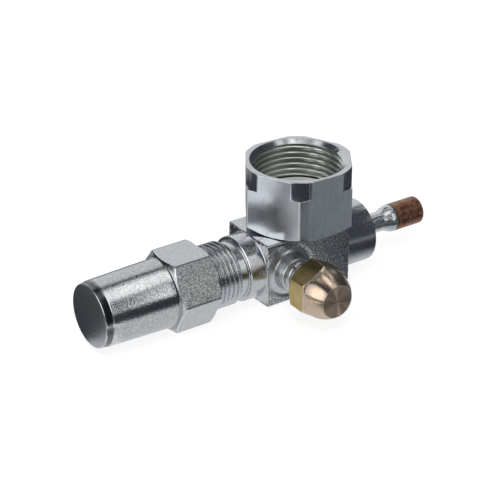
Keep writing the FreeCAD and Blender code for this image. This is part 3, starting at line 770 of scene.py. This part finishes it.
def build_cap():
    tip, mouth = low("stem_cap", 0), high("stem_cap", 0)
    half = 12.7
    beyond = past_corners(half)
    face_r, thread_r, bore, cone_r, barrel_r, tip_r = 13.85, 11.45, 8.9, 12.6, 11.5, 11.1
    edge, wall, cavity_end = 0.5, 2.8, -52.3
    hexa = Hexagon(2 * half, 30, 0.22, 0.5)
    root = (12.1, CAP_HEX_START - 1.0)
    fillet = arc_through(root, (12.234, root[1] + 0.5), (cone_r, root[1] + 0.866), 5)
    cone_foot = fillet[-1]
    cone_top = (beyond, cone_foot[1] + (beyond - cone_r) * SLOPE_30)
    outside = [(thread_r + edge, mouth)]
    outside += ramp((face_r, mouth), (beyond, mouth - (beyond - face_r) * SLOPE_30), 10)
    outside += [(beyond, (mouth + CAP_HEX_START) / 2)] + ramp(cone_top, cone_foot, 20)
    outside += fillet[-2::-1] + spaced([root, (barrel_r, tip + 2.95)], 2.0)
    outside += outline([(barrel_r, tip + 2.95), (barrel_r, tip + 2.9, 0.02), (11.35, tip + 2.75, 0.06),
                        (tip_r, tip + 0.5)], 2)[1:]
    outside += arc_through((tip_r, tip + 0.5), (11.0, tip + 0.19), (10.6, tip), 6)
    outside += [(8.0, tip), (4.0, tip), (0.0, tip)]
    inside = [(0.0, tip + wall), (bore, tip + wall), (bore, cavity_end), (thread_r, cavity_end),
              (thread_r, mouth - edge)]

    def shape(radius, angle, height):
        on_hexagon = (radius > cone_foot[0] - 0.01) & (height > CAP_HEX_START - 0.2)
        return np.where(on_hexagon, hexa.limit(radius, angle), radius)

    corners = [60 * k for k in range(6)]
    mesh = grid_mesh("stem_cap_shape", STEM_AXIS, outside + inside, turned_angles(corners), shape)
    add_piece("stem_cap", [mesh], "cap", material_cap())


def build_flare_cap():
    open_end, tip = -high("flare_cap", 1), -low("flare_cap", 1)
    half = 8.73
    beyond = past_corners(half)
    back, root, middle, end = 0.95 * half, 8.9, 8.0, 5.9
    thread_r, throat_r, dish = 5.6, 1.65, 0.03
    hexa = Hexagon(2 * half, 0, 0.2)
    outside = [(thread_r, open_end), (back - 0.5, open_end)]
    outside += ramp((back, open_end), (beyond, open_end + (beyond - back) * SLOPE_30), 12)
    outside += [(beyond, (open_end + DOME_START) / 2)]
    outside += ramp((beyond, DOME_START - (beyond - root) * SLOPE_30), (root, DOME_START), 12)
    outside += arc_through((root, DOME_START), (middle, (DOME_START + tip) / 2), (end, tip), 24)
    outside += [(end - 0.10, tip), (end - 0.22, tip - dish), (3.0, tip - dish), (0.0, tip - dish)]
    seat = PORT_END + PORT_CREST + 1.1
    inside = [(0.0, seat - throat_r), (throat_r, seat - throat_r), (thread_r, seat - thread_r)]

    def shape(radius, angle, height):
        on_hexagon = (radius > 7.5) & (height < DOME_START + 1.5)
        return np.where(on_hexagon, hexa.limit(radius, angle), radius)

    corners = [30 + 60 * k for k in range(6)]
    mesh = grid_mesh("flare_cap_shape", PORT_AXIS, outside + inside, turned_angles(corners), shape)
    add_piece("flare_cap", [mesh], "flare_cap", material_brass())


def build_tube():
    start, end = low("solder_tube", 0), high("solder_tube", 0)
    neck, wide, wall = 3.65, 5.0, 1.0
    flare_start, flare_end, steps = 36.1, 40.5, 24
    shares = [k / steps for k in range(steps + 1)]
    flare = [(neck + (wide - neck) * float(smooth_step(share, 0, 1)),
              flare_start + (flare_end - flare_start) * share) for share in shares]
    outer = [(neck, start)] + spaced([(neck, 26.6), (neck, flare_start)], 0.6) + flare[1:]
    outer += spaced([(wide, flare_end), (wide, end - 0.35)], 0.8)[1:]
    outer += outline([(wide, end - 0.35), (wide, end, 0.3),
                      (wide - wall, end, 0.2), (wide - wall, end - 1)], 4)[1:]
    inner = [(r - wall, h) for r, h in reversed([(neck, start)] + flare)]

    def shape(radius, angle, height):
        """Seven shallow dents round the flare."""
        window = (smooth_step(height, flare_start + 0.8, flare_end - 1.2)
                  * (1 - smooth_step(height, flare_end - 0.6, flare_end + 0.9)))
        dents = 0.5 + 0.5 * np.cos(7 * angle + 0.6)
        return radius - 0.16 * dents ** 2 * window

    mesh = grid_mesh("solder_tube_shape", STEM_AXIS, outer + inner, turned_angles(base=192), shape)
    add_piece("solder_tube", [mesh], "valve", material_tube())


def body_rest():
    """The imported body's own surfaces without its stem boss and port thread."""
    boss_bore, port_bore, port_start = 7.6, 4.6, 18.0
    source = bmesh.new()
    source.from_mesh(NODES["valve_body"].data)
    bmesh.ops.remove_doubles(source, verts=source.verts, dist=0.0005 * MM)
    gone = []
    for face in source.faces:
        x, y, z = face.calc_center_median() / MM
        on_boss = x < BLOCK_FACE - 0.01 and math.hypot(y, z + STEM_DROP) > boss_bore
        on_port = port_start < -y < PORT_END + 0.1 and math.hypot(x - PORT_X, z + STEM_DROP) > port_bore
        if on_boss or on_port:
            gone.append(face)
    bmesh.ops.delete(source, geom=gone, context="FACES")
    rest = bpy.data.meshes.new("body_rest")
    source.to_mesh(rest)
    source.free()
    return rest


def build_body():
    """The body with its two outside threads drawn as real grooves."""
    end = low("valve_body", 0)
    crest, relief, collar_r = 11.4, 10.2, 11.6
    thread_end, groove_start, groove_end = -31.4, -30.2, -27.2
    cap_thread = Thread(crest, 1.05, 1.814, end, -29.6, 0.8)
    boss = outline([(7.5, end), (relief, end, 0.1), (crest, end + 1.2, 0.1)], 3)
    boss += spaced([(crest, end + 1.35), (crest, thread_end)], 0.11)
    boss += outline([(crest, thread_end), (relief, groove_start, 0.3), (relief, groove_end, 0.35),
                     (collar_r - 0.3, groove_end, 0.12), (collar_r, groove_end + 0.3, 0.1),
                     (collar_r, BLOCK_FACE, 0.45), (12.1, BLOCK_FACE)], 4)[1:]

    def boss_shape(radius, angle, height):
        cut = np.where(radius > relief + 0.01, crest - cap_thread.cut(angle, height), radius)
        return np.where(height < groove_start + 0.3, np.minimum(radius, cut), radius)

    boss_mesh = grid_mesh("stem_boss", STEM_AXIS, boss, turned_angles(base=324), boss_shape, closed=False)
    port_thread = Thread(PORT_CREST, 0.74, 1.27, 18.2, PORT_END + 1.0, 0.6)
    port = outline([(4.7, 17.75), (4.75, 18.0), (PORT_CREST, 18.6, 0.1)], 2)
    port += spaced([(PORT_CREST, 18.7), (PORT_CREST, PORT_END)], 0.11)

    def port_shape(radius, angle, height):
        cut = np.where(radius > 4.8, PORT_CREST - port_thread.cut(angle, height), radius)
        return np.minimum(radius, cut)

    port_mesh = grid_mesh("port_thread", PORT_AXIS, port, turned_angles(base=192), port_shape, closed=False)
    add_piece("valve_body", [body_rest(), boss_mesh, port_mesh], "valve", material_forging())


def dress_nodes():
    """Materials of the nodes that are shown as packed."""
    filler = material_plain("filler_metal", (0.50, 0.49, 0.45), 0.42, 1.0, 0.5, 0.02)
    steel = zinc("ground_steel", STEM_AXIS, (0.18, 0.30), 0.16, (0.50, 0.50, 0.51))
    graphite = material_plain("graphite", (0.06, 0.06, 0.065), 0.62, 0.0, 0.3, 0.03)
    copper = material_plain("soft_copper", (0.70, 0.36, 0.25), 0.32, 1.0)
    finishes = {
        "union_spigot": zinc("spigot_zinc", NUT_AXIS, (0.16, 0.30)),
        "seat_plug": zinc("plug_zinc", STEM_AXIS, (0.20, 0.34)),
        "face_seal": material_plain("seal_metal", (0.92, 0.92, 0.91), 0.35, 0.4, 1.8, 0.30),
        "stem_disc": material_plain("bronze", (0.62, 0.44, 0.25), 0.30, 1.0),
        "seat_plug_braze": filler, "solder_tube_braze": filler, "union_spigot_braze": filler,
        "valve_stem": steel, "disc_retainer": steel, "packing_washer": steel, "gland_nut": steel,
        "packing_ring_1": graphite, "packing_ring_2": graphite, "packing_ring_3": graphite,
        "stem_cap_seal": copper, "flare_cap_seal": copper,
    }
    for name, finish in finishes.items():
        materials = NODES[name].data.materials
        materials.clear()
        materials.append(finish)


# Stage, lamps and world. Metal shows a studio of its own: light backdrop, softboxes and dark flags
STUDIO_WHITE = (0.96, 0.98, 1.0)
FLAG_BLUE = (0.72, 0.86, 1.0)
WHITE = (1, 1, 1, 1)

# Lit patches of the floor as metal shows it: the limits and soft edge along x, those along y,
# in millimetres, and the strength. FAR is the floor's own edge
FAR = 4000
FLOOR_PATCHES = [
    ((-FAR, FAR, 5), (95, FAR, 5), 0.45),                 # behind
    ((-FAR, -132.5, 7.5), (7.5, FAR, 7.5), 0.45),         # behind on the left
    ((-110, -72, 5), (-20, 5, 3), 0.95),                  # round the cap's tip
    ((-190, -105, 10), (-95, -28, 6), 0.75),              # in front on the left
    ((-92, -66, 5), (-56, -36, 4), 2.2),                  # in front of the cap
    ((2, 28, 4), (-49, FAR, 3), 0.17),                    # right
]

# Strength of the painted shade on the floor as metal shows it, the part's shadow among it, and of the dark
# flags all round
FLOOR_SHADE = 0.06
ROOM_FLAG = 0.07

# Direction, half angle, soft edge and strength of what metal sees farther away
PANELS = [
    ((0.364, 0.833, 0.416), 31, 4, 0.80),
    ((0.50, 0.155, 0.852), 5.5, 2.5, 1.5),
    ((-0.911, -0.152, 0.385), 24, 8, 2.0),
    ((0.50, -0.53, 0.69), 4, 2, 1.2),
    ((0.0, 0.0, 1.0), 8, 10, 0.60),
    ((0.348, -0.185, 0.921), 4, 3, 1.3),
    ((-0.299, 0.258, 0.921), 5, 4, 1.3),
]


def studio_color(s, strength):
    """White light, bluer where it is weak."""
    return s.blend(s.span(strength, 0.05, 0.5), FLAG_BLUE, STUDIO_WHITE)


def flat_mesh(name, corners):
    mesh = bpy.data.meshes.new(name)
    mesh.from_pydata([tuple(c) for c in corners], [], [tuple(range(len(corners)))])
    thing = bpy.data.objects.new(name, mesh)
    bpy.context.scene.collection.objects.link(thing)
    return thing


def rectangle(left, right, front, back, height):
    return [(left, front, height), (right, front, height), (right, back, height), (left, back, height)]


def floor_light(s):
    """The floor as metal shows it: painted light of lit paper near the part, and painted shade beyond, with
    the part's shadow behind it on the left.
    """
    x, y, _ = s.split(s.position)
    front_edge = s.span(x, 2 * MM, 16 * MM, -47 * MM, -12 * MM)
    back_edge = s.span(x, -35 * MM, -20 * MM, 28 * MM, 60 * MM)
    paper = s.times(s.rise(s.math("SUBTRACT", y, front_edge), -10, 10),
                    s.rise(s.math("SUBTRACT", y, back_edge), 8, -8),
                    s.rise(x, -84, -76), s.rise(x, 90, 70), 0.78)
    slant = s.add(x, s.times(y, 0.44))
    slanted = s.times(s.rise(slant, -14.3, -11.3), s.rise(y, -50, -56), s.rise(y, -160, -130), 0.30)
    strip = s.times(s.within(slant, -34, -10, 2), s.within(y, -100, -53, 3), 0.24)
    patches = [s.times(s.within(x, *across), s.within(y, *along), strength)
               for across, along, strength in FLOOR_PATCHES]
    return s.largest(paper, slanted, strip, *patches, FLOOR_SHADE)


def make_floor():
    floor = flat_mesh("floor", rectangle(-FAR * MM, FAR * MM, -FAR * MM, FAR * MM, CAD_BOX[0][2]))
    s = Shader("floor_paper")
    s.bsdf.inputs["Base Color"].default_value = (0.8, 0.8, 0.8, 1)
    s.bsdf.inputs["Roughness"].default_value = 0.9
    s.bsdf.inputs["Specular IOR Level"].default_value = 0.0
    light = floor_light(s)
    seen_by_metal = s.glow(studio_color(s, light), light)
    # The camera sees near white paper with a soft shadow on it
    shade = s.node("ShaderNodeBsdfDiffuse")
    shade.inputs["Color"].default_value = (0.20, 0.20, 0.20, 1)
    seen_by_camera = s.node("ShaderNodeAddShader")
    s.link(s.glow(WHITE, 0.86), seen_by_camera.inputs[0])
    s.link(shade.outputs[0], seen_by_camera.inputs[1])
    surface = s.by_ray(seen_by_camera.outputs[0], seen_by_metal, s.bsdf.outputs[0])
    s.link(surface, s.output.inputs["Surface"])
    floor.data.materials.append(s.material)


def direction(azimuth, elevation):
    a, e = math.radians(azimuth), math.radians(elevation)
    return Vector((math.cos(a) * math.cos(e), math.sin(a) * math.cos(e), math.sin(e)))


def make_softbox(name, corners, strength):
    """A card that only metal sees."""
    card = flat_mesh(name, corners)
    s = Shader(name)
    s.link(s.glow((1.0, 0.99, 0.97, 1), strength), s.output.inputs["Surface"])
    card.data.materials.append(s.material)
    card.visible_camera = False
    card.visible_diffuse = False
    card.visible_shadow = False
    card.visible_transmission = False


def make_softboxes():
    """One card in front to the right of the part, and one above its nut and port."""
    seen_from = Vector((-0.045, -0.010, -0.018))
    ahead = Vector((0.5, -0.68, 0.52)).normalized()
    distance = 0.25
    edges = [direction(-59.3, 46), direction(-43.7, 46), direction(-57.4, 14), direction(-71.3, 14)]
    make_softbox("front_softbox", [seen_from + e * (distance / e.dot(ahead)) for e in edges], 2.0)
    make_softbox("upper_softbox", rectangle(-0.022, 0.028, -0.115, 0.008, 0.150), 1.7)


def make_world():
    world = bpy.data.worlds.new("studio")
    world.use_nodes = True
    bpy.context.scene.world = world
    s = Nodes(world.node_tree)
    looking = s.vector("NORMALIZE", s.node("ShaderNodeTexCoord").outputs["Generated"])
    light = ROOM_FLAG
    for centre, half, soft, strength in PANELS:
        facing = s.vector("DOT_PRODUCT", looking, tuple(Vector(centre).normalized()))
        inner, outer = math.cos(math.radians(half)), math.cos(math.radians(half + soft))
        light = s.add(s.span(facing, outer, inner, 0.0, strength), light)
    kind = "ShaderNodeBackground"
    seen_by_metal = s.glow(studio_color(s, light), light, kind)
    surface = s.by_ray(s.glow(WHITE, 1.0, kind), seen_by_metal, s.glow(WHITE, 0.5, kind))
    s.link(surface, s.node("ShaderNodeOutputWorld").inputs["Surface"])


def make_lamp(name, place, power, size):
    """A lamp for shadows and plain surfaces; metal shows the studio instead."""
    target = Vector((0, 0, -0.02))
    data = bpy.data.lights.new(name, "AREA")
    data.energy = power
    data.size = size
    lamp = bpy.data.objects.new(name, data)
    lamp.location = place
    lamp.rotation_euler = (target - Vector(place)).to_track_quat("-Z", "Y").to_euler()
    lamp.visible_glossy = False
    bpy.context.scene.collection.objects.link(lamp)


make_camera()
build_nut()
build_cap()
build_flare_cap()
build_tube()
build_body()
dress_nodes()
make_floor()
make_softboxes()
make_world()
make_lamp("key", (-0.25, -0.25, 0.55), 2.2, 0.35)
make_lamp("fill", (0.45, 0.35, 0.45), 1.2, 0.40)
bpy.context.scene.view_settings.view_transform = "Standard"
